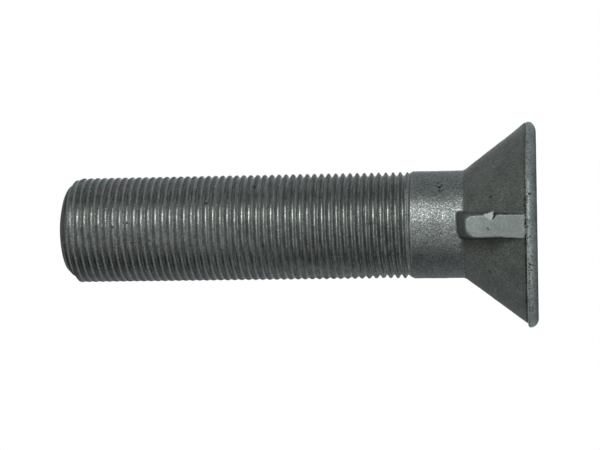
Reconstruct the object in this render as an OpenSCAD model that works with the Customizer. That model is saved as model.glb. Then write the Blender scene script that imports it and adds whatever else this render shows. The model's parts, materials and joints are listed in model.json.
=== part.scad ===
// Countersunk nib bolt: a forged one-piece steel bolt with a flat conical head.
// It stands on its head. Z runs up the axis from the flat head face to the threaded tip,
// and the nib that stops it turning faces -Y. The thread itself is drawn by its crest cylinder.

/* [Shank] */
// Whole length, from the flat head face to the tip
bolt_len = 132.7; // [90:0.1:200]
// Diameter of the plain neck, which is the thread's nominal size
neck_d = 30; // [24:0.1:40]
// Length of the plain neck between the head and the thread
neck_len = 15; // [8:0.1:30]
// Length of the bevel at the neck's thread end
neck_bevel_len = 0.9; // [0.3:0.1:3]
// Radius of the fillet where the neck grows into the head's cone
neck_fillet_r = 2.5; // [0.5:0.1:4]

/* [Thread] */
// How much smaller the thread's crest diameter is than the neck
thread_allowance = 0.25; // [0.05:0.05:0.8]
// Length of the run-out, between the neck and the first full crest
runout_len = 1.7; // [1:0.1:6]
// How far the run-out lies under the thread's crests
runout_drop = 0.48; // [0.1:0.02:1.2]
// Length of the 45 degree chamfer at the tip
tip_chamfer = 3.2; // [1:0.1:6]
// Radius that softens the edge between that chamfer and the end face
tip_round_r = 1; // [0.3:0.1:3]

/* [Head] */
// Diameter of the head at its rim
head_d = 56.9; // [44:0.1:80]
// Included angle of the countersunk cone
cone_angle = 74; // [60:1:90]
// Height of the upright rim under the cone, rounding included
rim_h = 2.9; // [2.6:0.1:6]
// Width of the ledge by which the rim stands out past the cone, where it is narrowest
rim_lip = 0.2; // [0.1:0.05:0.8]
// How far the forging dies left the rim off the axis, toward -X
rim_shift = 0.4; // [0:0.05:0.6]
// Radius that rounds the rim into the flat head face
rim_round_r = 2.2; // [0.5:0.1:2.3]

/* [Nib] */
// Width of the nib at its outer face
nib_w = 6.2; // [4:0.1:12]
// How far the nib's outer face lies inside the cone's wide end
nib_drop = 0.1; // [0.05:0.05:2]
// How far the nib's foot reaches past the cone, on to the neck
nib_reach = 1.6; // [0.5:0.1:5]
// Slope of the nib's end face
nib_end_draft = 12.2; // [2:0.1:25]
// Slope of the nib's two side walls
nib_side_draft = 3; // [0:0.5:10]
// Radius of the nib's rounder upright corner, on the -X side
nib_corner_r = 1.9; // [0.6:0.1:2.2]
// Radius of its sharper upright corner, on the +X side
nib_tight_r = 0.7; // [0.5:0.1:2.2]
// Size of the broken edge round the nib's outer face
nib_edge = 0.4; // [0.1:0.1:0.5]

/* [Nick] */
// Height of the nick that the nib's +X edge took in handling
nick_z = 10.2; // [6:0.1:16]
// How far the nick bites into the width of the nib
nick_bite = 1.1; // [0.3:0.1:1.8]
// How deep the nick goes below the nib's outer face
nick_depth = 0.7; // [0.2:0.1:2]

/* [Hidden] */
$fn = 96;

neck_r = neck_d / 2;
crest_r = (neck_d - thread_allowance) / 2;
runout_r = crest_r - runout_drop;
runout_lead = min(runout_drop, runout_len / 2);
tip_r = crest_r - tip_chamfer;
rim_r = head_d / 2;
cone_r = rim_r - rim_shift - rim_lip;
cone_slope = cone_angle / 2;
head_h = rim_h + (cone_r - neck_r) / tan(cone_slope);
neck_top = head_h + neck_len;
crest_z = neck_top + runout_len;

nib_top_r = cone_r - nib_drop;
nib_foot_z = head_h + nib_reach;
nib_sunk_r = neck_r / 2;
rim_land_z = (rim_h + rim_round_r) / 2;
slice_h = 0.01;
over = 0.3;

// A point at the given distance from another, in the given direction.
function along(p, angle, distance) = p + distance * [cos(angle), sin(angle)];

// The sliver between a corner and the arc that rounds it. It is cut from an outer corner
// and added to an inner one. The two angles are the directions of the corner's edges.
module corner_sliver(corner, angle_a, angle_b, r) {
    middle = (angle_a + angle_b) / 2;
    half = abs(angle_b - angle_a) / 2;
    centre = along(corner, middle, r / sin(half));
    run = r / tan(half);
    difference() {
        polygon([
            along(corner, middle, -over),
            along(corner, angle_a, run),
            centre,
            along(corner, angle_b, run)
        ]);
        translate(centre) circle(r);
    }
}

// Half section of the head's rim: rounded below, with a small bevel above an upright land.
module rim_section() {
    difference() {
        polygon([
            [0, 0],
            [rim_r, 0],
            [rim_r, rim_land_z],
            [rim_r - rim_lip / 2, rim_h],
            [0, rim_h]
        ]);
        corner_sliver([rim_r, 0], 90, 180, rim_round_r);
    }
}

// Half section of the rest of the forged blank, radius across and height up. It starts
// inside the rim.
module blank_section() {
    difference() {
        union() {
            polygon([
                [0, rim_land_z],
                [cone_r, rim_land_z],
                [cone_r, rim_h],
                [neck_r, head_h],
                [neck_r, neck_top - neck_bevel_len],
                [runout_r, neck_top],
                [runout_r, crest_z - runout_lead],
                [crest_r, crest_z],
                [crest_r, bolt_len - tip_chamfer],
                [tip_r, bolt_len],
                [0, bolt_len]
            ]);
            corner_sliver([neck_r, head_h], 90, -90 + cone_slope, neck_fillet_r);
        }
        corner_sliver([tip_r, bolt_len], 180, 315, tip_round_r);
    }
}

// What spans the nib's outline in one slice: its near end inside the rim, and the two unlike
// corners of its far end. Its height runs along X here, and its -X side is the upper one.
module nib_outline(width, end_z, margin) {
    limit = 0.48 * width;
    round_r = min(max(nib_corner_r - margin, 0.1), limit);
    tight_r = min(max(nib_tight_r - margin, 0.1), limit);
    translate([rim_land_z, -width / 2]) square([slice_h, width]);
    translate([end_z - round_r, width / 2 - round_r]) circle(round_r, $fn = 32);
    translate([end_z - tight_r, tight_r - width / 2]) circle(tight_r, $fn = 32);
}

// One thin slice of the nib at a radius, drawn in by a margin.
module nib_slice(radius, margin) {
    half_w = nib_w / 2 + (nib_top_r - radius) * tan(nib_side_draft);
    end_z = nib_foot_z - (radius - neck_r) * tan(nib_end_draft);
    translate([0, -radius, 0])
        rotate([90, -90, 0])
            linear_extrude(slice_h)
                nib_outline(2 * (half_w - margin), end_z - margin, margin);
}

// Drafted nib, from its buried foot to its outer face.
module nib() {
    hull() {
        nib_slice(nib_sunk_r, 0);
        nib_slice(nib_top_r - nib_edge, 0);
        nib_slice(nib_top_r - slice_h, nib_edge);
    }
}

// Square nick, a corner of it pointing into the nib.
module nick() {
    translate([nib_w / 2, -nib_top_r, nick_z])
        rotate([0, 45, 0])
            cube([nick_bite * sqrt(2), 2 * nick_depth, nick_bite * sqrt(2)], center = true);
}

module bolt() {
    color([0.42, 0.44, 0.44]) {
        rotate_extrude() blank_section();
        translate([-rim_shift, 0, 0]) rotate_extrude() rim_section();
        difference() {
            nib();
            nick();
        }
    }
}

bolt();
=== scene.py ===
import json
import math
import bpy
import numpy as np
from mathutils import Matrix, Vector


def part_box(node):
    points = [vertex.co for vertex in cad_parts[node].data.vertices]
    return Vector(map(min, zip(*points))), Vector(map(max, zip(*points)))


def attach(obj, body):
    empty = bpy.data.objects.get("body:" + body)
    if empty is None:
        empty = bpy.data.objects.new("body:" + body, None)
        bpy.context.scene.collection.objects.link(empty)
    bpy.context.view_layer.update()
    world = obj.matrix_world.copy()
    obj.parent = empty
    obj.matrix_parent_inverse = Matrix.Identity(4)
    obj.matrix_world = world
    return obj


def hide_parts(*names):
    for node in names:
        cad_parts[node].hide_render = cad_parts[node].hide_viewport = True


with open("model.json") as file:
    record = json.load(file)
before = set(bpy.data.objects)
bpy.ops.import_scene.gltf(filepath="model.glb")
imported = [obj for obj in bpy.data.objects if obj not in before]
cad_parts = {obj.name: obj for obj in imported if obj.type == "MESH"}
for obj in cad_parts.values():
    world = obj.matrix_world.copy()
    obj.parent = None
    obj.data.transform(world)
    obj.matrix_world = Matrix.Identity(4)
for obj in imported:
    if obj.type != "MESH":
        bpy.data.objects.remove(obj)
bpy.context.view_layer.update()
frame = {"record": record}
print("frame loaded")

metre = 1000.0  # shapes are worked out in millimetres and put into the mesh in metres
mounts = {mount["name"]: mount for mount in frame["record"]["mounts"]}
boxLow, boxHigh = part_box("bolt")

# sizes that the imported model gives
size = {
    "length": boxHigh.z * metre,
    "rimRadius": (boxHigh.y - boxLow.y) / 2 * metre,
    "rimShift": -(boxHigh.x + boxLow.x) / 2 * metre,
    "crestRadius": mounts["thread"]["dims"]["r_mm"],
    "threadLength": mounts["thread"]["dims"]["length_mm"],
    "coneTop": mounts["cone_seat"]["pos_m"][2] * metre,
    "nibRadius": -mounts["nib_key"]["pos_m"][1] * metre,
}


# a smooth step from 0 to its height while the value goes from start to stop
def ramp(value, start, stop, height=1):
    share = np.clip((value - start) / (stop - start), 0, 1)
    return height * (share * share * (3 - 2 * share))


# a bell curve of the given width and height round a middle
def hump(value, middle, width, height=1):
    return height * np.exp(-((value - middle) / width) ** 2)


# unevenness, mostly from -1 to 1: twice the mean of plane waves with seeded directions and phases
def ripple(points, wavelength, seed, waves=12):
    random = np.random.default_rng(seed)
    way = random.normal(size=(waves, 3))
    stretch = random.uniform(0.7, 1.4, waves)
    way *= (2 * math.pi / wavelength / np.linalg.norm(way, axis=1) * stretch)[:, None]
    phase = random.uniform(0, 2 * math.pi, waves)
    return np.sin(points @ way.T + phase).mean(-1) * 2


# where two distances are both negative: the larger of them, with the outer corner rounded
def roundedBoth(a, b, radius):
    corner = np.hypot(np.maximum(radius + a, 0), np.maximum(radius + b, 0))
    return np.minimum(-radius, np.maximum(a, b)) + corner


# where either distance is negative: the smaller of them, with a fillet in the inner corner
def filletedEither(a, b, radius):
    corner = np.hypot(np.maximum(radius - a, 0), np.maximum(radius - b, 0))
    return np.maximum(radius, np.minimum(a, b)) - corner


# how far a slope of so many degrees rises over a length of 1
def tangent(degrees):
    return math.tan(math.radians(degrees))


# an angle brought to between half a turn back and half a turn on
def wrapped(angle):
    return (angle + math.pi) % (2 * math.pi) - math.pi


# distance from the line through a point, measured along a direction, in the plane of x and height
def lineDistance(x, z, point, away):
    return (x - point[0]) * away[0] + (z - point[1]) * away[1]


# a point's place from its angle, counted from -Y toward +X, its radius and its height:
# x is radius times sine less the shift, and y is radius times cosine, reversed
def around(angle, radius, z, shift=0):
    angle, radius, z = np.broadcast_arrays(angle, radius, z)
    return np.stack([radius * np.sin(angle) - shift, -radius * np.cos(angle), z], -1)


view = {
    "lens": 103.6,
    "distance": 0.4864,
    "tilt": 7.78,  # degrees by which it looks toward the tip
    "roll": 0.93,
    "turn": 1.45,  # degrees round the bolt
    "aimSide": 0.0005,
    "aimDrop": 0.00013,
    "clip": (0.01, 20),
}


# it lies on its side, so that the standing bolt runs across the frame with its tip at the left
def makeCamera():
    tilt, roll = math.radians(view["tilt"]), math.radians(view["roll"])
    aim = Vector((view["aimSide"], 0, size["length"] / metre / 2 - view["aimDrop"]))
    forward = Vector((0, math.cos(tilt), math.sin(tilt)))
    right = Matrix.Rotation(roll, 3, forward) @ forward.cross(Vector((1, 0, 0)))
    axes = Matrix((right, right.cross(forward), -forward)).transposed()
    place = Matrix.Translation(aim - forward * view["distance"]) @ axes.to_4x4()
    data = bpy.data.cameras.new("camera")
    data.lens = view["lens"]
    data.clip_start, data.clip_end = view["clip"]
    camera = bpy.data.objects.new("camera", data)
    camera.matrix_world = Matrix.Rotation(math.radians(view["turn"]), 4, "Z") @ place
    bpy.context.scene.collection.objects.link(camera)
    bpy.context.scene.camera = camera


# cone and neck
head = {
    "neckRadius": 14.94,
    "coneAngle": 74,
    "junctionFillet": 0.45,
    "creaseRows": (2.92, 2.97, 3.03, 3.09, 3.16),  # heights of the rows in the crease over the rim
    "rowSpans": (  # start, stop and step of the rows above it, closer at the blow and the nib's end
        (3.3, 9.2, 0.25), (9.2, 11.6, 0.1), (11.6, 14.4, 0.16), (14.4, 17.6, 0.24),
        (17.6, 19.1, 0.1), (19.1, 21, 0.19), (21, 22.3, 0.12), (22.3, 24.9, 0.36)),
    "lastRow": 25.0,
    "creaseDepth": 0.12,
    "crease": (3.05, 0.09),  # its height and half width, as a groove
    "creaseTight": 0.7,  # what it loses on the +X side
    "swell": 0.16,  # how much the cone swells beside the rim, toward +X
    "swellEnd": (3, 6),
    "scaleHeight": 0.045,  # unevenness that the forging scale leaves
    "scaleWaves": (9, 3.1, 0.7),  # its long and short wavelengths, and the short one's share
    "scaleStart": (3.0, 4.5),
    "scaleOnNib": 0.6,  # what it loses on the nib's outer face
    "neckSpan": (25.8, 33.5, 0.8),  # start, stop and step of the neck's rows
    "neckLastRows": (33.3, 33.6),
    "neckEnd": (33.95, 35.1),  # where the neck's end slopes down to the thread's blank
    "neckEndRows": 8,
    "endCrease": (-0.1, 0.22, 0.8),  # dark line on it: place from its middle, half width, strength
    "blankRow": 35.05,
}

nib = {
    "plusEdge": 3.08,  # half width toward +X at the outer face
    "plusTaper": (14.2, 16, 0.16),  # heights over which that edge draws in, and how far
    "plusBulge": (15.2, 0.5, 0.06),  # middle, width and height
    "minusEdge": 2.92,
    "minusFlare": (3, 4.5, 0.38),
    "minusHollow": (10.5, 1.5, 0.1),
    "ragged": (0.035, 0.02),  # how far the two edges waver
    "raggedWaves": ((2.9, 0), (4.7, 1), (1.9, 2)),  # radians a millimetre, and phase
    "foot": 21.55,  # height at which the end face meets the neck
    "endDraft": 12.2,
    "sideDraft": 3,
    "plusCorner": (0.7, 1.7),  # rounding of its upright corner at the foot and at the outer face
    "minusCorner": (2.5, 2.8),
    "brokenEdge": 0.32,  # rounding between the side walls and the outer face
    "endEdge": 0.55,  # rounding between the end face and the outer face
    "endEdgeStart": (16.6, 18.4),
    "rootFillet": 0.55,
}

# the blow that bent the nib's +X edge: a sloping facet with a burr, and a notch beside it
blow = {
    "facetStart": (1.35, 11.8),
    "facetAway": (0.832, -0.557),
    "facetSlope": 0.22,
    "burrTop": 14.2,
    "burrPeak": 11.15,
    "burrReach": 1.05,
    "burrFade": (1.15, 6),  # its share at the outer face, and the depth at which that has dropped by 1
    "notchTip": (1.3, 11.8),
    "notchWallAway": (-0.249, -0.968),
    "notchRampAway": (0.6, 0.8),
    "notchLean": (0.12, 0.3),  # how much its wall and its ramp close in with depth
    "notchDepth": 1.5,
}


# radius of the plain body: the neck's, and below the cone's top the depth times the cone's slope more
def bodyRadius(z):
    return head["neckRadius"] + np.maximum(size["coneTop"] - z, 0) * tangent(head["coneAngle"] / 2)


# how far the facet of the blow lies under the nib's outer face: its slope times the distance from
# the line where it starts, as far as the notch's wall
def facetDrop(x, z):
    wall = lineDistance(x, z, blow["notchTip"], blow["notchWallAway"])
    facet = lineDistance(x, z, blow["facetStart"], blow["facetAway"])
    return blow["facetSlope"] * np.maximum(facet, 0) * (wall < 0) * (z < blow["burrTop"] + 1)


# distance from the nib's surface, negative inside it: the largest of the distances from two side
# walls and a sloping end face, with unlike corners between them, and from a flat outer face with a
# broken edge all round. The blow lowers a facet, pushes a burr out and leaves a notch
def nibDistance(x, reach, z):
    drop = size["nibRadius"] - reach
    wall = lineDistance(x, z, blow["notchTip"], blow["notchWallAway"])
    rise = lineDistance(x, z, blow["notchTip"], blow["notchRampAway"])
    burr = blow["burrReach"] * np.clip((blow["burrTop"] - z) / (blow["burrTop"] - blow["burrPeak"]), 0, 1)
    burr = burr * (wall < 0) * np.clip(blow["burrFade"][0] - drop / blow["burrFade"][1], 0, 1)
    ragged = sum(np.sin(z * rate + phase) for rate, phase in nib["raggedWaves"])
    plusEdge = nib["plusEdge"] - ramp(z, *nib["plusTaper"]) + hump(z, *nib["plusBulge"]) + burr
    plusEdge = plusEdge + nib["ragged"][0] * ragged
    minusEdge = nib["minusEdge"] + hump(z, *nib["minusFlare"]) - hump(z, *nib["minusHollow"])
    minusEdge = minusEdge - nib["ragged"][1] * ragged
    lean = drop * tangent(nib["sideDraft"])
    end = z - nib["foot"] + (reach - head["neckRadius"]) * tangent(nib["endDraft"])
    end *= math.cos(math.radians(nib["endDraft"]))
    level = np.clip(drop / (size["nibRadius"] - head["neckRadius"]), 0, 1)
    plusCorner, minusCorner = (nib[name][1] + (nib[name][0] - nib[name][1]) * level
                               for name in ("plusCorner", "minusCorner"))
    outline = np.maximum(roundedBoth(x - plusEdge - lean, end, plusCorner),
                         roundedBoth(-x - minusEdge - lean, end, minusCorner))
    outer = reach - size["nibRadius"] + facetDrop(x, z)
    edge = nib["brokenEdge"] + (nib["endEdge"] - nib["brokenEdge"]) * ramp(z, *nib["endEdgeStart"])
    solid = roundedBoth(outline, outer, edge)
    wallLean, rampLean = blow["notchLean"]
    notch = np.maximum(wallLean * drop - wall, rampLean * drop - rise)
    notch = np.maximum(notch, drop - blow["notchDepth"])
    return np.maximum(np.maximum(solid, -notch), head["neckRadius"] / 2 - reach)


# distance from the blank's surface: the smaller of those from cone and neck, with a fillet between
# them, and then the smaller of that and the nib's, with another
def blankDistance(angle, radius, z):
    slope = math.radians(head["coneAngle"] / 2)
    coneRadius = head["neckRadius"] + (size["coneTop"] - z) * math.tan(slope)
    body = filletedEither((radius - coneRadius) * math.cos(slope), radius - head["neckRadius"],
                          head["junctionFillet"])
    return filletedEither(nibDistance(radius * np.sin(angle), radius * np.cos(angle), z), body,
                          nib["rootFillet"])


# the radius at which the blank's distance is nought, found by halving for the whole grid at once
def blankRadius(angle, z, least=12.0, most=30.0, halvings=34):
    low, high = np.full(angle.shape, least), np.full(angle.shape, most)
    for _ in range(halvings):
        middle = (low + high) / 2
        within = blankDistance(angle, middle, z) < 0
        low, high = np.where(within, middle, low), np.where(within, high, middle)
    return (low + high) / 2


# the mesh's columns
columns = {
    "denseHalf": 20,  # degrees to each side of the nib in which they are crowded
    "densePerSide": 40,
    "wide": 94,  # spaces between them on the rest of the circle
    "keepEvery": 8,  # which of the crowded ones go on past the head
    "keyShares": (0, 0.3, 0.45, 0.8, 0.88, 1),  # shares of a side's columns at its key angles
    "edgeGap": 0.05,
    "footGap": 1.2,
    "evenOver": 2.8,  # height past the nib's foot over which they spread out evenly
    "cornerOver": 2.5,  # height under the nib's far end over which its corners grow
}


# angles of the columns on each row. Each side has key angles: the nib's middle, the start and the
# end of its rounded edge, the foot of its wall, a little past that, and the end of the crowded part;
# the columns are shared out evenly between one key angle and the next
def columnAngles(z):
    share = np.linspace(0, 1, columns["densePerSide"] + 1)
    stops = np.array(columns["keyShares"])
    part = np.clip(np.searchsorted(stops, share, side="right") - 1, 0, len(stops) - 2)
    along = (share - stops[part]) / (stops[part + 1] - stops[part])
    farEnd = nib["foot"] - (size["nibRadius"] - head["neckRadius"]) * tangent(nib["endDraft"])
    outer = head["neckRadius"] + (nib["foot"] - z) / tangent(nib["endDraft"])
    outer = np.clip(outer, head["neckRadius"], size["nibRadius"])
    even = ramp(z, nib["foot"], nib["foot"] + columns["evenOver"])[:, None]
    cornerShare = ramp(z, farEnd - columns["cornerOver"], farEnd)
    gap = columns["footGap"]
    sides = []
    for name in ("minus", "plus"):
        edge, corner = nib[name + "Edge"], nib[name + "Corner"][1]
        corner = nib["brokenEdge"] + (corner - nib["brokenEdge"]) * cornerShare
        half = edge + (size["nibRadius"] - outer) * tangent(nib["sideDraft"])
        footHalf = edge + (size["nibRadius"] - bodyRadius(z)) * tangent(nib["sideDraft"])
        edgeStart = np.degrees(np.arctan((half - corner) / outer))
        edgeStop = np.degrees(np.arctan((half + columns["edgeGap"]) / outer))
        foot = np.maximum(np.degrees(np.arcsin(footHalf / bodyRadius(z))), edgeStop + gap)
        keys = np.stack([0 * z, edgeStart, edgeStop, foot, foot + gap, 0 * z + columns["denseHalf"]], -1)
        crowded = keys[:, part] * (1 - along) + keys[:, part + 1] * along
        sides.append(crowded * (1 - even) + columns["denseHalf"] * share * even)
    wide = np.linspace(columns["denseHalf"], 360 - columns["denseHalf"], columns["wide"] + 1)[1:-1]
    wide = np.broadcast_to(wide, (len(z), len(wide)))
    return np.radians(np.hstack([-sides[0][:, :0:-1], sides[1], wide]))


# unevenness of the forged skin: long waves, and shorter ones at a share of their height
def skinWaves(points):
    long, short, share = head["scaleWaves"]
    return head["scaleHeight"] * (ripple(points, long, 1) + share * ripple(points, short, 2))


# what the head's skin shows. A pair is the start and the stop of a fade, by height in millimetres
# unless its note says something else
marks = {
    "faceUnder": (0.25, 0.8),  # depth under the nib's outer face over which its finish fades
    "faceHalf": 4.2,
    "faceStand": 0.06,  # how far the nib has to stand out before it has a face
    "neckStart": (-0.25, 0.35),  # height past the cone's top
    "neckOut": (0.1, 0.5),  # how far out from the neck its finish fades on the nib's foot
    "wander": (0.7, 0.5, 4),  # the crease's strength, how much that varies, and over what length
    "tightSide": (0.08, 0.5),  # sine of the angle over which the crease gets tighter toward +X
    "crease": (3.07, 0.32),  # height and half width of its dark line, painted shade in the crease
    "creaseShadeMore": 0.25,
    "creaseTight": 0.6,
    # painted shadow beside the nib's -X side, partly soot, and painted shade on its end face
    "shadowStart": (-0.8, 0.1),  # distance past the nib's -X edge
    "shadowStop": (0.2, 0.4, 5.8),  # where it starts to fade, and the least and the added distance of its end
    "shadowGrows": (3.5, 13),  # height over which it spreads out
    "shadowEnd": (20.2, 21.2),
    "endFaceShade": 0.38,  # painted shade on the nib's end face
    "endStart": (18.7, 19.3),
    "endStand": 0.3,
    # painted highlight on the blow's facet
    "facetHighlight": 0.7,
    "facetUnder": (0.01, 0.06),
    "cornerHighlight": 0.6,  # painted highlight spots where the cone meets the neck
    "cornerLine": (0.1, 0.16),  # height past the cone's top, and half width
    "cornerStand": 0.35,
    "cornerSpots": 1.6,
}


# the head above its rim: the blank's radius with the skin's unevenness and the swell toward +X added and
# the crease taken off, with the shares, from 0 to 1, of the finishes, marks, painted shade and painted
# highlights
def coneGrid(heights, angle):
    z = heights[:, None]
    radius = blankRadius(angle, z)
    points = around(angle, radius, z)
    under = size["nibRadius"] - radius * np.cos(angle) - facetDrop(points[..., 0], points[..., 2])
    face = (1 - ramp(under, *marks["faceUnder"])) * (abs(points[..., 0]) < marks["faceHalf"])
    face *= radius - bodyRadius(z) > marks["faceStand"]
    neckLow, neckHigh = marks["neckStart"]
    neck = ramp(z, size["coneTop"] + neckLow, size["coneTop"] + neckHigh)
    neck = neck * (1 - ramp(radius - head["neckRadius"], *marks["neckOut"]))

    strength, varied, over = marks["wander"]
    wander = strength + varied * ripple(points, over, 3)
    tight = ramp(np.sin(angle), *marks["tightSide"])
    groove = head["creaseDepth"] * hump(z, *head["crease"]) * wander * (1 - head["creaseTight"] * tight)
    plusSide = np.clip(np.sin(angle), 0, 1) ** 2
    swell = head["swell"] * plusSide * (1 - ramp(z, *head["swellEnd"])) * (1 - face)
    uneven = skinWaves(points) * (1 - head["scaleOnNib"] * face)
    radius = radius + uneven * ramp(z, *head["scaleStart"]) - groove + swell
    points = around(angle, radius, z)
    # painted shade along the crease, tighter toward +X
    more = marks["creaseShadeMore"]
    crease = hump(z, *marks["crease"]) * np.clip(wander + more, 0, 1 + more)
    crease = crease * (1 - marks["creaseTight"] * tight)

    # painted shadow beside the nib, partly soot, and painted shade on its end face
    beside = -points[..., 0] - nib["minusEdge"]
    fadeStart, leastStop, addedStop = marks["shadowStop"]
    fadeStop = addedStop * ramp(z, *marks["shadowGrows"]) + leastStop
    shadowAndSoot = ramp(beside, *marks["shadowStart"]) * (1 - ramp(beside, fadeStart, fadeStop))
    shadowAndSoot = shadowAndSoot * (points[..., 1] < 0) * (1 - ramp(z, *marks["shadowEnd"])) * (1 - face)
    onEnd = ramp(z, *marks["endStart"]) * (radius - bodyRadius(z) > marks["endStand"]) * (1 - face)
    shadowAndSoot = np.maximum(shadowAndSoot, marks["endFaceShade"] * onEnd)

    # painted highlight, as bright as the land, on the blow's facet and in spots along the corner of cone and
    # neck
    paintedHighlight = marks["facetHighlight"] * face * ramp(facetDrop(points[..., 0], z), *marks["facetUnder"])
    cornerRise, cornerWide = marks["cornerLine"]
    corner = hump(z, size["coneTop"] + cornerRise, cornerWide)
    corner = corner * (radius - head["neckRadius"] < marks["cornerStand"])
    spots = np.clip(0.5 + ripple(points, marks["cornerSpots"], 9), 0, 1)
    paintedHighlight = np.maximum(paintedHighlight, marks["cornerHighlight"] * corner * spots)
    return points, {"nibFace": face, "neck": neck, "crease": crease, "shadowAndSoot": shadowAndSoot, "land": paintedHighlight,
                    "rounding": 0 * radius}


# the rim round the head face
rim = {
    "rings": (5, 10, 15, 20, 24),  # radii of the rows on the flat face
    "round": 2.2,
    "roundRows": 13,
    "bevelStart": 2.32,  # height at which the upright land ends
    "bevelHeight": 0.52,
    "bevelInward": (0, 0.05, 0.15, 0.29, 0.45),  # how far in from the land its rows stand
    "worn": (0.12, 0.26),  # how much wider than high its rounding is: all round, and toward +X
    "wornStart": (24, 26),
    "bend": 0.05,  # how far it is bent in and out
    "bendWaves": (11, 3.4, 0.5),  # long and short wavelengths, and the short one's share
    "bendLimit": 0.03,
    "bendStart": (0, 1.2),
    "ledgeLift": 0.015,
    "ledgeHeight": 2.9,
    "paintedLitSide": (-0.45, 0.4),  # angle and width, in radians, of the stretch where the land's painted highlight is strongest
    "landBreadth": (0.45, 0.65, 0.25, 2.2),  # share, added on that stretch, varied by, and over what length
    "landMost": 1.1,
    "landLower": (2.5, 1.05, 0.15),  # lower edge of a land of no breadth, how far breadth lowers it, softness
    "landBright": (0.55, 0.45),  # its painted highlight, and what is added on that stretch
    "ledgeShade": 0.45,
}


# rim profile about its own shifted centre: flat face, a quarter round, an upright land and a soft
# bevel, whose height goes as the root of how far in it is
def rimProfile():
    turn = np.radians(np.linspace(-90, 0, rim["roundRows"]))
    rings, inward = np.array(rim["rings"]), np.array(rim["bevelInward"])
    flat = size["rimRadius"] - rim["round"]
    radius = np.concatenate([rings, flat + rim["round"] * np.cos(turn), size["rimRadius"] - inward])
    bevel = rim["bevelStart"] + rim["bevelHeight"] * np.sqrt(inward / inward[-1])
    return radius, np.concatenate([0 * rings, rim["round"] * (1 + np.sin(turn)), bevel])


# the rim: its profile turned round the axis, with a wider rounding where it is worn, and bent a
# little in and out; its last row lies midway to the cone's first one
def rimGrid(angle, coneStart):
    radius, heights = rimProfile()
    z = heights[:, None]
    worn = rim["worn"][0] + rim["worn"][1] * np.clip(np.sin(angle), 0, 1) ** 2
    onRound = heights < rim["bevelStart"]
    worn = worn * ((size["rimRadius"] - radius) * onRound * ramp(radius, *rim["wornStart"]))[:, None]
    radius = radius[:, None] - worn
    points = around(angle, radius, z, size["rimShift"])
    long, short, share = rim["bendWaves"]
    bent = rim["bend"] * (ripple(points, long, 4) + share * ripple(points, short, 5))
    bent = bent * ramp(z, *rim["bendStart"])
    radius = radius + np.minimum(bent, rim["bendLimit"]) - rim["bendLimit"] * ramp(z, *rim["bendStart"])
    points = around(angle, radius, z, size["rimShift"])
    ledge = 0.5 * (points[-1:] + coneStart) + np.array([0, 0, rim["ledgeLift"]])

    # painted highlight on the land, strongest on one stretch
    paintedLitSide = hump(wrapped(angle[0]), *rim["paintedLitSide"])
    share, added, varied, over = rim["landBreadth"]
    landTop = points[-len(rim["bevelInward"])]
    breadth = share + added * paintedLitSide + varied * ripple(landTop, over, 8)
    highest, lowered, soft = rim["landLower"]
    lower = highest - lowered * np.clip(breadth, 0, rim["landMost"])
    land = ramp(np.append(heights, rim["ledgeHeight"])[:, None], lower - soft, lower + soft)
    land = land * (rim["landBright"][0] + rim["landBright"][1] * paintedLitSide)
    none = np.zeros_like(land)
    # the ledge's row gets painted shade, as the crease does
    return np.vstack([points, ledge]), {
        "nibFace": none, "neck": none, "crease": np.vstack([none[:-1], none[-1:] + rim["ledgeShade"]]),
        "shadowAndSoot": none, "land": land, "rounding": 1 - land}


# rim and cone as one grid
def headGrid():
    spans = [np.arange(start, stop - step / 3, step) for start, stop, step in head["rowSpans"]]
    heights = np.concatenate([head["creaseRows"]] + spans + [[head["lastRow"]]])
    angle = columnAngles(np.maximum(heights, head["rowSpans"][0][0]))
    cone, coneShares = coneGrid(heights, angle)
    low, lowShares = rimGrid(angle[:1], cone[:1])
    shares = {name: np.vstack([lowShares[name], coneShares[name]]) for name in coneShares}
    return np.vstack([low, cone]), shares


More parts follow.
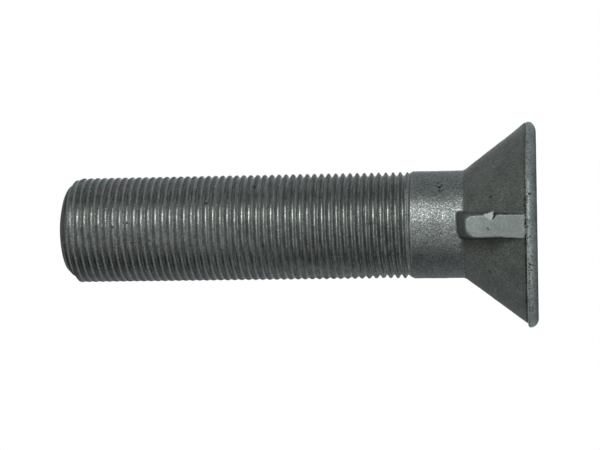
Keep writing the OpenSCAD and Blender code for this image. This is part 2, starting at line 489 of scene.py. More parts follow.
# the thread and the tip
thread = {
    "turns": 46.12,
    "crestHeight": 37.7,  # height of a crest on the +X side
    "rootDrop": 1.02,
    "blankRadius": 14.42,  # the shank before rolling, still there at the run-out
    "blankShade": 0.4,  # the depth, as a share of the root's, whose finish it has
    "fade": (33.6, 36.4),  # heights between which the thread grows to its full depth
    "ringGap": 0.02,  # what comes this near to a level ring, or past it, is drawn in to it
    "steps": (0, 0.045, 0.09, 0.17, 0.26, 0.34, 0.42, 0.5),  # from crest to root, as a share of the pitch
    "drops": (0, 0.018, 0.09, 0.33, 0.65, 0.89, 0.982, 1),  # how far each step lies under the crest
    "shallow": (50, 114, 0.6),  # heights over which the grooves get shallower, and by what share
    "flatSide": (-90, 32, 0.6),  # degrees round which they are shallower still, its width, the share
    "flatFrom": (38, 56),
    "crestWaver": (0.03, 2.6),  # how much the crests' height wavers, and over what length
    "headwardShade": (0.7, 0.15),  # share of painted shade on flanks facing the head, less at the tip
    "tipwardLit": (0.76, 0.54),  # share of painted light on flanks facing the tip, less at the tip
    "tipward": (75, 105),
    "paintedLitSide": (-0.2, 0.45),  # angle and width, in radians, of the side where the flanks get more painted light
    "paintedLitMore": (0.3, 0.55),  # what that adds, and what it adds besides at the tip
    "darkerToTip": (68, 104, 0.26),  # heights over which the colour gets darker toward the tip, and how much
    "chamfer": 3.2,
    "tipRound": 1.0,
    "tipRoundRows": 5,
    "chamferRows": (131.75, 131.9, 132.05, 132.2),
    "endRings": (8.5, 5.5, 2.5),  # radii of the rows on the end face
    "endWaves": (0.05, 5),
    "endCentre": 0.05,  # how far its middle lies in
    "chamferGrooves": (130.1, 131.7, 0.8),  # heights over which they fade, and their share of the depth
    "chamferDark": (-0.3, -0.6),  # how much earlier its dark colour starts and is whole
    "tipShift": 0.1,  # how far the chamfer and the end face lie off the axis, toward +X
    "tipLean": 0.22,  # how much lower the end face stands on its +X side
    "leanSine": (0, 0.8),
    "leanStart": (131.9, 132.5),
}

# knocks on the crests: angle from -Y toward +X, height, radius and depth
knocks = (
    (-23.4, 40.6, 0.9, 0.4), (51.7, 77.6, 0.7, 0.25), (31.3, 90.6, 0.7, 0.2), (8.6, 112.6, 0.6, 0.2),
    (4.5, 116.6, 0.5, 0.2), (-88, 43.4, 1.1, 0.5), (-86, 41.6, 1.0, 0.4), (141, 63.5, 0.9, 0.3),
    (206, 96.2, 0.8, 0.3), (251, 52.1, 0.7, 0.25))


# a bell-shaped dent for each knock, by the distance from it over the cylinder of the crests
def knockDepth(angle, z):
    depth = 0
    for degrees, height, wide, deep in knocks:
        apart = wrapped(angle - math.radians(degrees))
        depth = depth + deep * np.exp(-((apart * size["crestRadius"]) ** 2 + (z - height) ** 2) / wide ** 2)
    return depth


# radius of the chamfer at the tip, where it is 45 degrees and a little off the axis
def chamferRadius(angle, z):
    return size["crestRadius"] - thread["chamfer"] + size["length"] - z + thread["tipShift"] * np.sin(angle)


# level rows of the neck, down the slope at its end to the blank: the radius is the neck's less the
# step to the blank times a smooth share, and the skin's unevenness
def neckRows(angle):
    slopeRows = np.linspace(*head["neckEnd"], head["neckEndRows"])[:-1]
    plainRows = np.append(np.arange(*head["neckSpan"]), head["neckLastRows"])
    z = np.concatenate([plainRows, slopeRows, [head["blankRow"]]])[:, None]
    slope = ramp(z, *head["neckEnd"])
    radius = head["neckRadius"] - (head["neckRadius"] - thread["blankRadius"]) * slope
    uneven = skinWaves(around(angle, radius, z)) * (1 - slope)
    return around(angle, radius + uneven, z), slope


# level rows above the thread: the rest of the chamfer, whose radius shrinks as fast as it rises, its
# rounding by sine and cosine, and the end face, which is sunk here and there and leans toward +X
def tipRows(angle):
    turn = np.radians(np.linspace(45, 90, thread["tipRoundRows"]))
    rings, chamferRows = thread["endRings"], thread["chamferRows"]
    tipRadius = size["crestRadius"] - thread["chamfer"]
    centre = tipRadius - thread["tipRound"] * tangent(45 / 2)
    rounding = size["length"] - thread["tipRound"] * (1 - np.sin(turn))
    z = np.concatenate([chamferRows, rounding, [size["length"]] * len(rings)])
    chamfer = tipRadius + size["length"] - z[:len(chamferRows)]
    radius = np.concatenate([chamfer, centre + thread["tipRound"] * np.cos(turn), rings])
    points = around(angle, radius[:, None] + thread["tipShift"] * np.sin(angle), z[:, None])
    waver, over = thread["endWaves"]
    uneven = np.minimum(waver * ripple(points, over, 6) - waver, 0) * (radius < tipRadius)[:, None]
    lean = thread["tipLean"] * ramp(np.sin(angle), *thread["leanSine"])
    lean = lean * ramp(z, *thread["leanStart"])[:, None] * np.clip(radius / tipRadius, 0, 1)[:, None]
    return points + np.stack([0 * uneven, 0 * uneven, uneven - lean], -1)


# the thread: each row follows the helix, climbing one pitch in a turn, at its own depth below the
# crest. The height is the row's own plus the pitch times the share of the turn, and the radius is
# the crest's less the row's drop, which the fades toward the tip and on the -X side make smaller
def threadRows(angle, lowRing, highRing):
    pitch = size["threadLength"] / thread["turns"]
    steps, drops = np.array(thread["steps"]), np.array(thread["drops"])
    offsets, drops = np.append(steps, 1 - steps[-2:0:-1]), np.append(drops, drops[-2:0:-1])
    start = thread["crestHeight"] - pitch * (90 + columns["denseHalf"]) / 360
    start -= pitch * math.ceil((start - lowRing) / pitch + 1)
    turns = np.arange(math.ceil((highRing - start) / pitch) + 3)
    climb = pitch * (angle - angle[0]) / (2 * math.pi)
    z = (start + pitch * (turns[:, None] + offsets)).reshape(-1, 1) + climb
    below = np.tile(drops, len(turns))[:, None]
    grown = ramp(z, *thread["fade"])
    aside = wrapped(angle)
    middle, wide, lost = thread["flatSide"]
    flat = lost * hump(aside, math.radians(middle), math.radians(wide)) * ramp(z, *thread["flatFrom"])
    grooved = thread["rootDrop"] * below * (1 - ramp(z, *thread["shallow"])) * (1 - flat)
    rolled = size["crestRadius"] - grooved
    radius = thread["blankRadius"] + (rolled - thread["blankRadius"]) * grown
    points = around(angle, radius, z)
    waver, over = thread["crestWaver"]
    radius = radius - waver * (1 + ripple(points, over, 7)) * (1 - below) - knockDepth(angle, z) * (1 - below)
    fadeStart, fadeStop, part = thread["chamferGrooves"]
    shown = part * (1 - ramp(z, fadeStart, fadeStop))
    radius = np.minimum(radius, chamferRadius(angle, z) - thread["rootDrop"] * below * shown)

    # shares of the colours: depth, painted light and shade by the way a flank faces (1 is the tip, -1 the
    # head), and darkening toward the end
    depth = thread["blankShade"] * (1 - grown) + below * grown
    facingLight = np.tile(np.sin(2 * math.pi * offsets), len(turns))[:, None] * grown
    tipward = ramp(z, *thread["tipward"])
    dark, darkLost = thread["headwardShade"]
    light, lightLost = thread["tipwardLit"]
    # painted light on flanks facing the tip, painted shade on those facing the head
    facingLight = facingLight * np.where(facingLight < 0, dark - darkLost * tipward, light - lightLost * tipward)
    # more painted light on one side
    more, moreAtTip = thread["paintedLitMore"]
    facingLight = facingLight * (1 + (more + moreAtTip * tipward) * hump(aside, *thread["paintedLitSide"]))
    startMove, stopMove = thread["chamferDark"]
    darkerEnd = np.maximum(ramp(z, fadeStart + startMove, fadeStop + stopMove), ramp(z, *thread["darkerToTip"]))
    return around(angle, radius, z), {"threadDepth": depth, "facingLight": facingLight, "darkerEnd": darkerEnd}, len(offsets)


# quads between neighbouring rows of a grid of vertex numbers, closed round the axis
def bands(rows):
    ring = np.hstack([rows, rows[:, :1]])
    return np.stack([ring[:-1, :-1], ring[:-1, 1:], ring[1:, 1:], ring[1:, :-1]], -1).reshape(-1, 4)


# quads of the helix: what lies past a level ring is drawn in to it, and what closes up there is
# dropped; a row meets the row of the next turn where the circle closes
def helixFaces(numbers, z, lowRing, highRing, lowNumbers, highNumbers, perTurn):
    numbers = np.where(z < lowRing + thread["ringGap"], lowNumbers, numbers)
    numbers = np.where(z > highRing - thread["ringGap"], highNumbers, numbers)
    ring = np.hstack([numbers[:-perTurn], numbers[perTurn:, :1]])
    a, b, c, d = (q.ravel() for q in (ring[:-1, :-1], ring[:-1, 1:], ring[1:, 1:], ring[1:, :-1]))
    whole, leftShut, rightShut = (a != d) & (b != c), (a == d) & (b != c), (a != d) & (b == c)
    quads = np.stack([a, b, c, d], -1)[whole]
    return quads, np.vstack([np.stack([a, b, c], -1)[leftShut], np.stack([a, b, d], -1)[rightShut]])


# the bolt's faces, part by part, forged ones and rolled ones. The crowded columns of the head end in
# broad faces on the neck, a few columns to each, and fans of triangles close both ends
def boltFaces(foot, headNumbers, neckNumbers, tipNumbers, peak, helix, plainRows):
    dense, every = 2 * columns["densePerSide"], columns["keepEvery"]
    top, bottom, last = headNumbers[-1], neckNumbers[0], tipNumbers[-1]
    broad = top[every * np.arange(dense // every)[:, None] + np.arange(every + 1)]
    broad = np.hstack([broad, bottom[1:dense // every + 1, None], bottom[:dense // every, None]])
    wideTop, wideBottom = np.append(top[dense:], top[0]), np.append(bottom[dense // every:], bottom[0])
    joining = np.stack([wideTop[:-1], wideTop[1:], wideBottom[1:], wideBottom[:-1]], -1)
    under = np.stack([0 * top + foot[0, 0], np.roll(headNumbers[0], -1), headNumbers[0]], -1)
    over = np.stack([last, np.roll(last, -1), 0 * last + peak[0, 0]], -1)
    rings = len(thread["endRings"])
    forged = [broad, under, bands(headNumbers), joining, bands(neckNumbers[:plainRows]),
              bands(tipNumbers[-rings - 1:]), over]
    return forged, [bands(neckNumbers[plainRows - 1:]), *helix, bands(tipNumbers[:-rings])]


def makeBolt():
    headPoints, headShares = headGrid()
    dense, every = 2 * columns["densePerSide"], columns["keepEvery"]
    kept = np.append(np.arange(0, dense + 1, every), np.arange(dense + 1, headPoints.shape[1]))
    angle = columnAngles(np.array([head["lastRow"]]))[0][kept]
    neckPoints, neckSlope = neckRows(angle)
    tipPoints = tipRows(angle)
    lowRing, highRing = neckPoints[-1, 0, 2], tipPoints[0, 0, 2]
    threadPoints, threadShares, perTurn = threadRows(angle, lowRing, highRing)
    grids = [np.array([[[-size["rimShift"], 0, 0]]]), headPoints, neckPoints, threadPoints, tipPoints,
             np.array([[[0, 0, size["length"] - thread["endCentre"]]]])]
    starts = np.cumsum([0] + [grid[..., 0].size for grid in grids])
    spans = zip(starts[:-1], starts[1:], grids)
    foot, headNumbers, neckNumbers, threadNumbers, tipNumbers, peak = (
        np.arange(first, last).reshape(grid.shape[:2]) for first, last, grid in spans)
    helix = helixFaces(threadNumbers, threadPoints[..., 2], lowRing, highRing, neckNumbers[-1],
                       tipNumbers[0], perTurn)
    plainRows = np.count_nonzero(neckSlope == 0)
    forged, rolled = boltFaces(foot, headNumbers, neckNumbers, tipNumbers, peak, helix, plainRows)
    print("bolt: forms worked out")

    # vertices that the helix left over past the rings go
    used = np.zeros(starts[-1], bool)
    for part in forged + rolled:
        used[part.ravel()] = True
    fresh = np.cumsum(used) - 1
    faces = [face for part in forged + rolled for face in fresh[part].tolist()]
    forgedCount = sum(len(part) for part in forged)
    triangles = sum(len(part) * (part.shape[1] - 2) for part in forged + rolled)
    points = np.vstack([grid.reshape(-1, 3) for grid in grids])[used] / metre
    mesh = bpy.data.meshes.new("bolt")
    mesh.from_pydata(points.tolist(), [], faces)
    mesh.polygons.foreach_set("use_smooth", np.ones(len(faces), bool))
    mesh.polygons.foreach_set("material_index", (np.arange(len(faces)) >= forgedCount).astype(np.int32))

    # the finishes' shares, as attributes that the materials read
    shares = {name: np.zeros(starts[-1]) for name in (*headShares, *threadShares)}
    for given, numbers in ((headShares, headNumbers), (threadShares, threadNumbers)):
        for name, values in given.items():
            shares[name][numbers] = values
    aside, wide, strength = head["endCrease"]
    neckCrease = hump(neckPoints[:, :1, 2], sum(head["neckEnd"]) / 2 + aside, wide, strength)
    shares["neck"][neckNumbers] = 1 - neckSlope
    shares["crease"][neckNumbers] = neckCrease
    shares["threadDepth"][neckNumbers] = thread["blankShade"]
    shares["darkerEnd"][tipNumbers[0, 0]:] = 1
    shares["rounding"][foot] = 1
    for name, values in shares.items():
        attribute = mesh.attributes.new(name, "FLOAT", "POINT")
        attribute.data.foreach_set("value", values[used].astype(np.float32))
    mesh.update()
    piece = bpy.data.objects.new("forgedBolt", mesh)
    bpy.context.scene.collection.objects.link(piece)
    print("bolt: mesh made,", len(points), "vertices,", triangles, "triangles")
    return piece


# sets a node's inputs to values, or links them to the sockets that are given
def setInputs(tree, node, inputs):
    for key, value in inputs.items():
        if isinstance(value, bpy.types.NodeSocket):
            tree.links.new(value, node.inputs[key])
        else:
            node.inputs[key].default_value = value


def addNode(tree, kind, inputs=None, **settings):
    made = tree.nodes.new(kind)
    for name, value in settings.items():
        setattr(made, name, value)
    setInputs(tree, made, inputs or {})
    return made


def mathNode(tree, operation, a, b=0.0, c=0.0, clamp=False):
    inputs = {0: a, 1: b, 2: c}
    return addNode(tree, "ShaderNodeMath", inputs, operation=operation, use_clamp=clamp).outputs[0]


def vectorMath(tree, operation, inputs):
    return addNode(tree, "ShaderNodeVectorMath", inputs, operation=operation)


def mixColor(tree, factor, a, b, kind="MIX"):
    inputs = {0: factor, 6: a, 7: b}
    return addNode(tree, "ShaderNodeMix", inputs, data_type="RGBA", blend_type=kind).outputs[2]


def mixValue(tree, factor, a, b):
    return addNode(tree, "ShaderNodeMix", {0: factor, 2: a, 3: b}, data_type="FLOAT").outputs[0]


def remap(tree, value, fromLow, fromHigh, toLow=0.0, toHigh=1.0):
    inputs = {0: value, 1: fromLow, 2: fromHigh, 3: toLow, 4: toHigh}
    return addNode(tree, "ShaderNodeMapRange", inputs).outputs[0]


noiseRange = (0.3, 0.7)  # most of a noise's values lie between these


def noise(tree, vector, scale, detail, roughness):
    inputs = {"Vector": vector, "Scale": scale, "Detail": detail, "Roughness": roughness}
    return addNode(tree, "ShaderNodeTexNoise", inputs).outputs["Fac"]


def attributeOf(tree, name):
    return addNode(tree, "ShaderNodeAttribute", attribute_name=name).outputs["Fac"]


# a colour made lighter or darker by a value that changes over the surface
def toned(tree, color, factor):
    grey = addNode(tree, "ShaderNodeCombineColor", {0: factor, 1: factor, 2: factor}).outputs[0]
    return mixColor(tree, 1.0, color, grey, "MULTIPLY")


# a colour with a share of its brighter self mixed in
def brightened(tree, color, share, gain):
    return mixColor(tree, share, color, mixColor(tree, 1.0, color, (gain, gain, gain, 1), "MULTIPLY"))


def makeGroup(name, inputs, outputs):
    tree = bpy.data.node_groups.new(name, "ShaderNodeTree")
    for label, kind, value in inputs:
        socket = tree.interface.new_socket(label, in_out="INPUT", socket_type="NodeSocket" + kind)
        if value is not None:
            socket.default_value = value
    for label, kind in outputs:
        tree.interface.new_socket(label, in_out="OUTPUT", socket_type="NodeSocket" + kind)
    return tree, tree.nodes.new("NodeGroupInput").outputs, tree.nodes.new("NodeGroupOutput").inputs


def groupNode(tree, group, inputs):
    made = tree.nodes.new("ShaderNodeGroup")
    made.node_tree = group
    setInputs(tree, made, inputs)
    return made.outputs


# fine grain of a blasted or scaled skin: two sizes of noise, and the brightest specks apart
def makeGrain():
    grain = {"coarser": 0.3, "specks": (0.52, 0.72)}
    tree, given, out = makeGroup(
        "steelGrain",
        [("Vector", "Vector", None), ("Grains per metre", "Float", 2600.0), ("Coarse share", "Float", 0.3)],
        [("Height", "Float"), ("Specks", "Float")])
    fine = noise(tree, given["Vector"], given["Grains per metre"], detail=1.0, roughness=0.6)
    coarser = mathNode(tree, "MULTIPLY", given["Grains per metre"], grain["coarser"])
    coarse = noise(tree, given["Vector"], coarser, detail=2.0, roughness=0.6)
    tree.links.new(mixValue(tree, given["Coarse share"], fine, coarse), out["Height"])
    tree.links.new(remap(tree, fine, *grain["specks"]), out["Specks"])
    return tree


# slow clouds that make one patch a little lighter or darker than the next
def makeClouds():
    tree, given, out = makeGroup(
        "toneClouds",
        [("Vector", "Vector", None), ("Color", "Color", None), ("Clouds per metre", "Float", 160.0),
         ("Amount", "Float", 0.3)],
        [("Color", "Color")])
    cloud = noise(tree, given["Vector"], given["Clouds per metre"], detail=4.0, roughness=0.6)
    tone = remap(tree, cloud, *noiseRange, -1.0, 1.0)
    factor = mathNode(tree, "MULTIPLY_ADD", tone, given["Amount"], 1.0)
    tree.links.new(toned(tree, given["Color"], factor), out["Color"])
    return tree


# dark brown residue broken into specks, where a mask lets it settle
def makeResidue():
    residue = {
        "specksPerMetre": 2000.0, "patchesPerMetre": 420.0, "patchShare": 0.3,
        "breaks": (0.705, 0.745),  # the noise over which a speck starts and is whole
        "lighter": (0.4, 0.6),
        "darkBrown": (0.012, 0.010, 0.008, 1), "brown": (0.036, 0.030, 0.024, 1),
    }
    tree, given, out = makeGroup(
        "residue",
        [("Vector", "Vector", None), ("Color", "Color", None), ("Recess", "Float", 0.0),
         ("Amount", "Float", 0.5)],
        [("Color", "Color")])
    specks = noise(tree, given["Vector"], residue["specksPerMetre"], detail=1.0, roughness=0.6)
    patches = noise(tree, given["Vector"], residue["patchesPerMetre"], detail=2.0, roughness=0.5)
    both = mathNode(tree, "ADD", specks, mathNode(tree, "MULTIPLY", patches, residue["patchShare"]))
    level = mathNode(tree, "MULTIPLY", remap(tree, both, *residue["breaks"]), given["Amount"])
    mask = mathNode(tree, "MULTIPLY", level, given["Recess"], clamp=True)
    lighter = remap(tree, patches, *residue["lighter"])
    brown = mixColor(tree, lighter, residue["darkBrown"], residue["brown"])
    tree.links.new(mixColor(tree, mask, given["Color"], brown), out["Color"])
    return tree


# single pits: angle from -Y toward +X, distance from the axis, height, radius
pits = (
    (44.5, 14.9, 26.3, 0.75), (47.6, 14.9, 25.6, 0.62), (41.5, 14.9, 25.5, 0.55), (47, 14.9, 27.3, 0.45),
    (39.5, 14.9, 26.2, 0.6), (51.5, 14.9, 26.6, 0.55), (21.6, 20.9, 12.4, 0.6), (17.1, 28.2, 1.8, 0.4),
    (31.3, 14.7, 90.6, 0.8), (51.7, 14.7, 77.6, 0.9), (8.6, 14.8, 112.6, 0.55), (4.5, 14.8, 116.6, 0.5),
    (-11.5, 14.6, 106.5, 0.5), (-21.2, 14.6, 38.1, 0.5), (-1.4, 27.7, 12.8, 0.32), (-38, 20.5, 12.9, 0.7),
    (-43, 21.2, 12.2, 0.5), (150, 22, 10.6, 0.7), (205, 25, 6.4, 0.6), (262, 19, 14.5, 0.6),
    (120, 14.8, 29.5, 0.6), (214, 14.8, 31.2, 0.5), (183, 14.7, 84.1, 0.6), (232, 14.7, 70.9, 0.6),
    (101, 14.7, 105.4, 0.5))


# dark pits with ragged edges: each is the space near its place, which noise has shaken
def makePits():
    pit = {"shakesPerMetre": 1500.0, "shake": 0.0009, "edge": (1.05, 0.35), "dark": 0.9,
           "color": (0.012, 0.011, 0.010, 1)}
    tree, given, out = makeGroup("pits", [("Vector", "Vector", None), ("Color", "Color", None)],
                                 [("Color", "Color"), ("Mask", "Float")])
    inputs = {"Vector": given["Vector"], "Scale": pit["shakesPerMetre"], "Detail": 1.0}
    shaken = addNode(tree, "ShaderNodeTexNoise", inputs).outputs["Color"]
    inputs = {0: shaken, 1: (pit["shake"],) * 3, 2: given["Vector"]}
    moved = vectorMath(tree, "MULTIPLY_ADD", inputs).outputs[0]
    outer, inner = pit["edge"]
    mask = None
    for degrees, away, height, radius in pits:
        angle = math.radians(degrees)
        centre = Vector((away * math.sin(angle), -away * math.cos(angle), height)) / metre
        centre += Vector((pit["shake"] / 2,) * 3)
        apart = vectorMath(tree, "DISTANCE", {0: moved, 1: centre}).outputs["Value"]
        one = remap(tree, apart, radius * outer / metre, radius * inner / metre)
        mask = one if mask is None else mathNode(tree, "MAXIMUM", mask, one)
    dark = mathNode(tree, "MULTIPLY", mask, pit["dark"])
    tree.links.new(mixColor(tree, dark, given["Color"], pit["color"]), out["Color"])
    tree.links.new(mask, out["Mask"])
    return tree


def startMaterial(name):
    material = bpy.data.materials.new(name)
    material.use_nodes = True
    tree = material.node_tree
    return material, tree, tree.nodes["Principled BSDF"]


# clouds, bright specks and residue over a steel's colour
def weathered(tree, where, color, specks, recess, finish, clouds, residue):
    inputs = {"Clouds per metre": finish["cloudsPerMetre"], "Amount": finish["cloudAmount"]}
    color = groupNode(tree, clouds, {"Vector": where, "Color": color, **inputs})["Color"]
    color = brightened(tree, color, specks, finish["speckGain"])
    inputs = {"Recess": recess, "Amount": finish["residueAmount"]}
    return groupNode(tree, residue, {"Vector": where, "Color": color, **inputs})["Color"]


# pits over a steel's colour and bump, and grain in its roughness
def joinSteel(tree, shader, where, color, rough, height, grainHeight, finish, pitGroup):
    marked = groupNode(tree, pitGroup, {"Vector": where, "Color": color})
    low, high, vary = finish["roughGrain"]
    rough = mathNode(tree, "ADD", rough, remap(tree, grainHeight, low, high, vary, -vary), clamp=True)
    pitted = mathNode(tree, "MULTIPLY", marked["Mask"], finish["pitDepth"])
    height = mathNode(tree, "SUBTRACT", height, pitted)
    inputs = {"Height": height, "Strength": 1.0, "Distance": finish["bumpDepth"] / metre}
    tree.links.new(marked["Color"], shader.inputs["Base Color"])
    tree.links.new(rough, shader.inputs["Roughness"])
    tree.links.new(addNode(tree, "ShaderNodeBump", inputs).outputs[0], shader.inputs["Normal"])
    shader.inputs["Metallic"].default_value = 1.0


# each triple of shares or heights is for the cone, the neck and the nib's outer face
forgedFinish = {
    "cone": (0.116, 0.125, 0.118, 1), "neck": (0.170, 0.186, 0.183, 1), "nibFace": (0.207, 0.232, 0.225, 1),
    # the land's colour is a painted highlight, also used on the blow's facet and the corner of cone and neck
    "land": (0.335, 0.375, 0.364, 1), "rounding": (0.203, 0.234, 0.235, 1),
    # painted shade in the crease over the rim and along the ledge
    "crease": (0.02, 0.019, 0.017, 1), "creaseShadeShare": 0.75,
    # painted shadow beside the nib, partly soot, and painted shade on its end face
    "shadowAndSoot": (0.02, 0.019, 0.016, 1), "shadowAndSootShare": 0.62,
    "coneRough": 0.55, "neckRough": 0.425, "nibRough": 0.5, "landRough": 0.5,
    "roughGrain": (0.35, 0.65, 0.1),  # heights of the grain, and how much rougher and smoother it is there
    "grain": {"Grains per metre": 2400.0, "Coarse share": 0.2},
    "grainHeights": (0.45, 1.1, 0.2), "bumpDepth": 0.12,
    "cloudsPerMetre": 190.0, "cloudAmount": 0.16,
    "speckShares": (0.3, 0.6, 0.12), "speckGain": 2.6,
    "residueAmount": 1.6, "residueShares": (0.22, 0.55, 0.04),  # the second of these is for the land
    "pitDepth": 1.2,
}


# colours by the finish's shares, with painted highlight on the land, then clouds, bright specks, residue, the
# crease's painted shade, painted shadow and shade at the nib (partly soot) and pits over them
def makeForgedSteel(grain, clouds, residue, pitGroup):
    finish = forgedFinish
    material, tree, shader = startMaterial("forgedSteel")
    where = addNode(tree, "ShaderNodeTexCoord").outputs["Object"]
    neck, nibFace, land = attributeOf(tree, "neck"), attributeOf(tree, "nibFace"), attributeOf(tree, "land")
    rounding, crease = attributeOf(tree, "rounding"), attributeOf(tree, "crease")

    # from a first value to a second by a share, and a value of its own on the nib's outer face
    def shared(share, first, second, onNib):
        return mixValue(tree, nibFace, mixValue(tree, share, first, second), onNib)

    skin = groupNode(tree, grain, {"Vector": where, **finish["grain"]})
    color = mixColor(tree, neck, finish["cone"], finish["neck"])
    color = mixColor(tree, nibFace, color, finish["nibFace"])
    color = mixColor(tree, rounding, color, finish["rounding"])
    # painted highlight on the land, the blow's facet and the corner of cone and neck
    color = mixColor(tree, land, color, finish["land"])
    specks = mathNode(tree, "MULTIPLY", skin["Specks"], shared(neck, *finish["speckShares"]))
    recess = mathNode(tree, "MAXIMUM", crease, shared(land, *finish["residueShares"]))
    color = weathered(tree, where, color, specks, recess, finish, clouds, residue)
    # painted shade in the crease
    dark = mathNode(tree, "MULTIPLY", crease, finish["creaseShadeShare"], clamp=True)
    color = mixColor(tree, dark, color, finish["crease"])
    # painted shadow beside the nib, partly soot, and painted shade on its end face
    shadowedAndSooty = mathNode(tree, "MULTIPLY", attributeOf(tree, "shadowAndSoot"), finish["shadowAndSootShare"])
    color = mixColor(tree, shadowedAndSooty, color, finish["shadowAndSoot"])
    rough = mixValue(tree, neck, finish["coneRough"], finish["neckRough"])
    rough = mixValue(tree, nibFace, rough, finish["nibRough"])
    rough = mixValue(tree, land, rough, finish["landRough"])
    height = mathNode(tree, "MULTIPLY", skin["Height"], shared(neck, *finish["grainHeights"]))
    joinSteel(tree, shader, where, color, rough, height, skin["Height"], finish, pitGroup)
    return material


rolledFinish = {
    "crest": (0.125, 0.133, 0.126, 1), "flank": (0.233, 0.250, 0.242, 1), "root": (0.165, 0.180, 0.176, 1),
    # painted light on flanks facing the tip, painted shade on those facing the head
    "tipward": (0.36, 0.385, 0.37, 1), "headward": (0.105, 0.113, 0.110, 1),
    "end": (0.048, 0.052, 0.050, 1), "endShare": 0.9, "crease": (0.02, 0.019, 0.017, 1),
    "crestToFlank": (0.02, 0.35),  # depths, as shares of the root's, over which one turns into the other
    "flankToRoot": (0.7, 1.0),
    "crestRough": 0.45, "flankRough": 0.50, "rootRough": 0.28,
    "roughToFlank": (0.05, 0.4),
    "roughGrain": (0.3, 0.7, 0.08),
    "streaksPerMetre": 900.0, "streakStretch": (0.35, 0.35, 5.0), "streakWear": 0.12,
    "streakTone": (0.72, 1.28), "streakHeight": 0.8,
    "grain": {"Grains per metre": 2400.0, "Coarse share": 0.4}, "bumpDepth": 0.04,
    "cloudsPerMetre": 260.0, "cloudAmount": 0.14,
    "speckShare": 0.4, "speckGain": 2.8,
    "residueAmount": 1.0,
    "crestResidue": (0.6, 0.1, 0.0, 0.5),  # depths from none to most, and the least and the most of it
    "rootResidue": (0.6, 0.85, 0.0, 0.38),
    "pitDepth": 2.5,
}


# colours by depth below the crest, painted light and shade by the way the flank faces, and streaks along the
# thread, then the darker end, the dark line at the neck's end, clouds, bright specks, residue and pits over
# them
def makeRolledSteel(grain, clouds, residue, pitGroup):
    finish = rolledFinish
    material, tree, shader = startMaterial("rolledSteel")
    where = addNode(tree, "ShaderNodeTexCoord").outputs["Object"]
    depth, facingLight = attributeOf(tree, "threadDepth"), attributeOf(tree, "facingLight")
    drawn = addNode(tree, "ShaderNodeMapping", {"Vector": where, "Scale": finish["streakStretch"]}).outputs[0]
    streaks = noise(tree, drawn, finish["streaksPerMetre"], detail=3.0, roughness=0.6)
    skin = groupNode(tree, grain, {"Vector": where, **finish["grain"]})
    wear = finish["streakWear"]
    worn = mathNode(tree, "ADD", depth, remap(tree, streaks, *noiseRange, -wear, wear))
    color = mixColor(tree, remap(tree, worn, *finish["crestToFlank"]), finish["crest"], finish["flank"])
    rootward = remap(tree, worn, *finish["flankToRoot"])
    color = mixColor(tree, rootward, color, finish["root"])
    # painted light on flanks facing the tip, painted shade on those facing the head
    color = mixColor(tree, facingLight, color, finish["tipward"])
    color = mixColor(tree, mathNode(tree, "MULTIPLY", facingLight, -1.0, clamp=True), color, finish["headward"])
    color = toned(tree, color, remap(tree, streaks, *noiseRange, *finish["streakTone"]))
    darkerEnd = mathNode(tree, "MULTIPLY", attributeOf(tree, "darkerEnd"), finish["endShare"])
    color = mixColor(tree, darkerEnd, color, finish["end"])
    color = mixColor(tree, attributeOf(tree, "crease"), color, finish["crease"])
    specks = mathNode(tree, "MULTIPLY", skin["Specks"], finish["speckShare"])
    recess = mathNode(tree, "MAXIMUM", remap(tree, depth, *finish["crestResidue"]),
                      remap(tree, depth, *finish["rootResidue"]))
    color = weathered(tree, where, color, specks, recess, finish, clouds, residue)
    flankward = remap(tree, worn, *finish["roughToFlank"])
    rough = mixValue(tree, flankward, finish["crestRough"], finish["flankRough"])
    rough = mixValue(tree, rootward, rough, finish["rootRough"])
    streaked = mathNode(tree, "MULTIPLY", streaks, finish["streakHeight"])
    height = mathNode(tree, "ADD", skin["Height"], streaked)
    joinSteel(tree, shader, where, color, rough, height, skin["Height"], finish, pitGroup)
    return material


floor = {
    "radius": 0.14,
    "hole": 0.026,  # radius of the opening beneath the head face
    "drop": 0.0001,  # how far it lies under that face
    "sides": 96,
    "color": (0.86, 0.86, 0.86, 1),
    "rough": 0.9,
    "glow": 0.36,  # added where the camera looks at it, so that it comes out white
    "nearGlow": (0.002, 0.02, 0.27, 0.0),  # in reflections: distances, and the shares of the glow there
}


# a flat ring just under the head, open beneath the head face and clear when seen from below, so
# that the face can be lit and looked at
def makeFloor():
    turn = np.linspace(0, 2 * math.pi, floor["sides"] + 1)[:-1]
    ring = np.stack([np.cos(turn), np.sin(turn), 0 * turn], -1)
    points = np.vstack([ring * floor["radius"], ring * floor["hole"]]) - np.array([0, 0, floor["drop"]])
    outer = np.arange(len(turn))
    after = np.roll(outer, -1)
    faces = np.stack([outer, after, after + len(turn), outer + len(turn)], -1)
    mesh = bpy.data.meshes.new("floor")
    mesh.from_pydata(points.tolist(), [], faces.tolist())
    material, tree, shader = startMaterial("floorPaint")
    shader.inputs["Base Color"].default_value = floor["color"]
    shader.inputs["Roughness"].default_value = floor["rough"]
    shader.inputs["Emission Color"].default_value = (1, 1, 1, 1)
    path = addNode(tree, "ShaderNodeLightPath").outputs
    seen = mathNode(tree, "MAXIMUM", path["Is Camera Ray"], path["Is Transmission Ray"])
    near = remap(tree, path["Ray Length"], *floor["nearGlow"])
    near = mathNode(tree, "MULTIPLY", path["Is Glossy Ray"], near)
    glow = mathNode(tree, "MULTIPLY", mathNode(tree, "MAXIMUM", seen, near), floor["glow"])
    tree.links.new(glow, shader.inputs["Emission Strength"])
    behind = addNode(tree, "ShaderNodeNewGeometry").outputs["Backfacing"]
    tree.links.new(mathNode(tree, "SUBTRACT", 1.0, behind), shader.inputs["Alpha"])
    mesh.materials.append(material)
    piece = bpy.data.objects.new("floor", mesh)
    bpy.context.scene.collection.objects.link(piece)


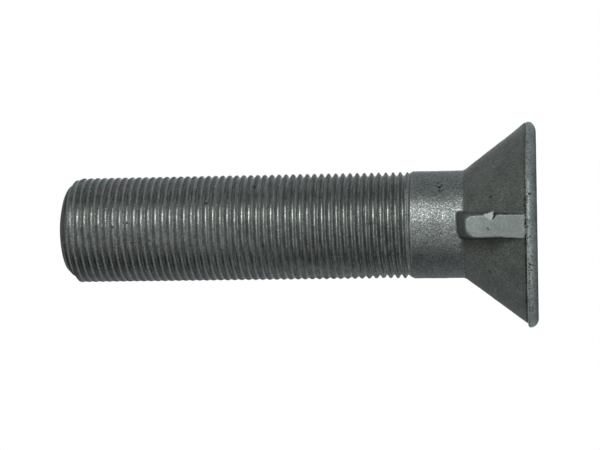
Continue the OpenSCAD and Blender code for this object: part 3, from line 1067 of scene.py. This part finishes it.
# area lamps that look at the bolt's middle. The angle is counted from -Y toward +X; rise, away and
# the sides are in metres, and a lamp's power is its radiance times its area times pi
lamps = {
    "keyLamp": {"angle": 29, "away": 0.8, "rise": 0.12, "wide": 0.36, "tall": 0.5, "radiance": 5.0,
                "color": (1.0, 1.0, 0.985)},
    "backLamp": {"angle": 166, "away": 1.0, "rise": 0.15, "wide": 0.1, "tall": 0.5, "radiance": 1.5,
                 "color": (0.96, 0.98, 1.0)},
}


def makeLamps():
    middle = Vector((0, 0, size["length"] / metre / 2))
    for name, lamp in lamps.items():
        angle = math.radians(lamp["angle"])
        away = lamp["away"]
        spot = middle + Vector((away * math.sin(angle), -away * math.cos(angle), lamp["rise"]))
        data = bpy.data.lights.new(name, "AREA")
        data.shape = "RECTANGLE"
        data.size, data.size_y = lamp["wide"], lamp["tall"]
        data.energy = lamp["radiance"] * lamp["wide"] * lamp["tall"] * math.pi
        data.color = lamp["color"]
        turned = (middle - spot).to_track_quat("-Z", "Y").to_matrix().to_4x4()
        made = bpy.data.objects.new(name, data)
        made.matrix_world = Matrix.Translation(spot) @ turned
        bpy.context.scene.collection.objects.link(made)


room = {
    "stops": (  # what reflections see, by how far they look toward +Y
        (-1.0, (0.89, 0.90, 0.89, 1)), (-0.8, (0.83, 0.84, 0.83, 1)), (-0.5, (0.31, 0.32, 0.31, 1)),
        (-0.25, (0.12, 0.13, 0.13, 1)), (0.0, (0.34, 0.36, 0.36, 1)), (0.3, (0.56, 0.60, 0.62, 1)),
        (0.7, (0.54, 0.58, 0.62, 1)), (1.0, (0.48, 0.52, 0.55, 1))),
    "minusShade": (-0.2, 0.25, 0.17, 0.68),  # toward -X: shares of that, by how far they look to +Y
    "minusToPlus": (-0.35, 0.45),
    "unshaded": (-0.9, -0.3),  # what looks straight toward -Y isn't shaded
    "headward": (-0.6, -0.05, 0.5, 1.0),  # toward -Z: shares again, by how far they look toward +Z
    "tip": (0.76, 0.80, 0.78, 1),
    "tipward": (0.4, 0.95),
    "ambient": (0.78, 0.79, 0.8, 1),
}


# the room: white where the camera looks, and even where it lights dull surfaces. In reflections it
# is bright in front with a dark band beside that, pale behind, dim below and light past the tip
def makeRoom():
    world = bpy.data.worlds.new("room")
    bpy.context.scene.world = world
    world.use_nodes = True
    tree = world.node_tree
    way = addNode(tree, "ShaderNodeTexCoord").outputs["Generated"]
    across, depth, along = addNode(tree, "ShaderNodeSeparateXYZ", {0: way}).outputs
    band = addNode(tree, "ShaderNodeValToRGB", {0: remap(tree, depth, -1.0, 1.0)})
    points = band.color_ramp.elements
    while len(points) < len(room["stops"]):
        points.new(0.5)
    for point, (toward, color) in zip(points, room["stops"]):
        point.position = (toward + 1) / 2
        point.color = color
    shade = remap(tree, depth, *room["minusShade"])
    shaded = remap(tree, across, *room["minusToPlus"], shade, 1.0)
    side = mixValue(tree, remap(tree, depth, *room["unshaded"]), 1.0, shaded)
    side = mathNode(tree, "MULTIPLY", side, remap(tree, along, *room["headward"]))
    mirrored = vectorMath(tree, "SCALE", {0: band.outputs[0], "Scale": side}).outputs[0]
    mirrored = mixColor(tree, remap(tree, along, *room["tipward"]), mirrored, room["tip"])
    path = addNode(tree, "ShaderNodeLightPath").outputs
    color = mixColor(tree, path["Is Glossy Ray"], room["ambient"], mirrored)
    seen = mathNode(tree, "MAXIMUM", path["Is Camera Ray"], path["Is Transmission Ray"])
    color = mixColor(tree, seen, color, (1, 1, 1, 1))
    tree.links.new(color, tree.nodes["Background"].inputs[0])


makeCamera()
makeRoom()
makeLamps()
makeFloor()
print("camera, lamps and room made")

bolt = makeBolt()
effects = (makeGrain(), makeClouds(), makeResidue(), makePits())
bolt.data.materials.append(makeForgedSteel(*effects))
bolt.data.materials.append(makeRolledSteel(*effects))
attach(bolt, "root")
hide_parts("bolt")
print("bolt finished")

bpy.context.scene.view_settings.view_transform = "Standard"
